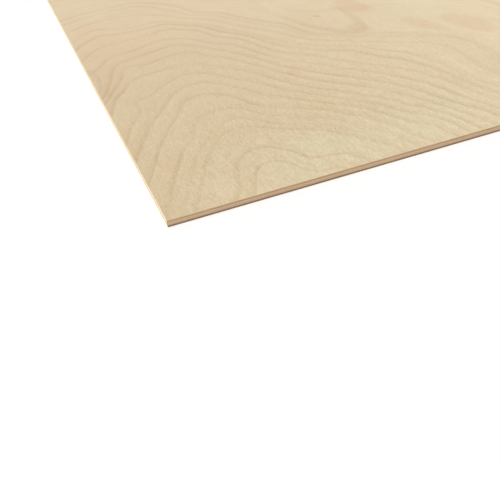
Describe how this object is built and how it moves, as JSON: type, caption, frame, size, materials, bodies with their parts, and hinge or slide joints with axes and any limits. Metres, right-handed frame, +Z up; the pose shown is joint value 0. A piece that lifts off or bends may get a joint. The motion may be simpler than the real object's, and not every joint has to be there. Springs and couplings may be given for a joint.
{
  "type": "plywood sheet",
  "caption": "Thin flat rectangular birch plywood sheet: sanded face and back veneers glued either side of a crosswise core, sawn square.",
  "frame": {"origin": "middle of the sheet's underside, on the floor", "axes": "+X across the sheet, +Y along its length and the grain of its face veneer, +Z up through its thickness"},
  "size_m": [0.3, 0.6, 0.003],
  "materials": {
    "face_veneer": "bare, sanded",
    "core_veneer": "bare, sawn",
    "back_veneer": "bare, sanded"
  },
  "bodies": {
    "root": {"back_veneer": "back_veneer", "core_veneer": "core_veneer", "face_veneer": "face_veneer"}
  },
  "joints": []
}
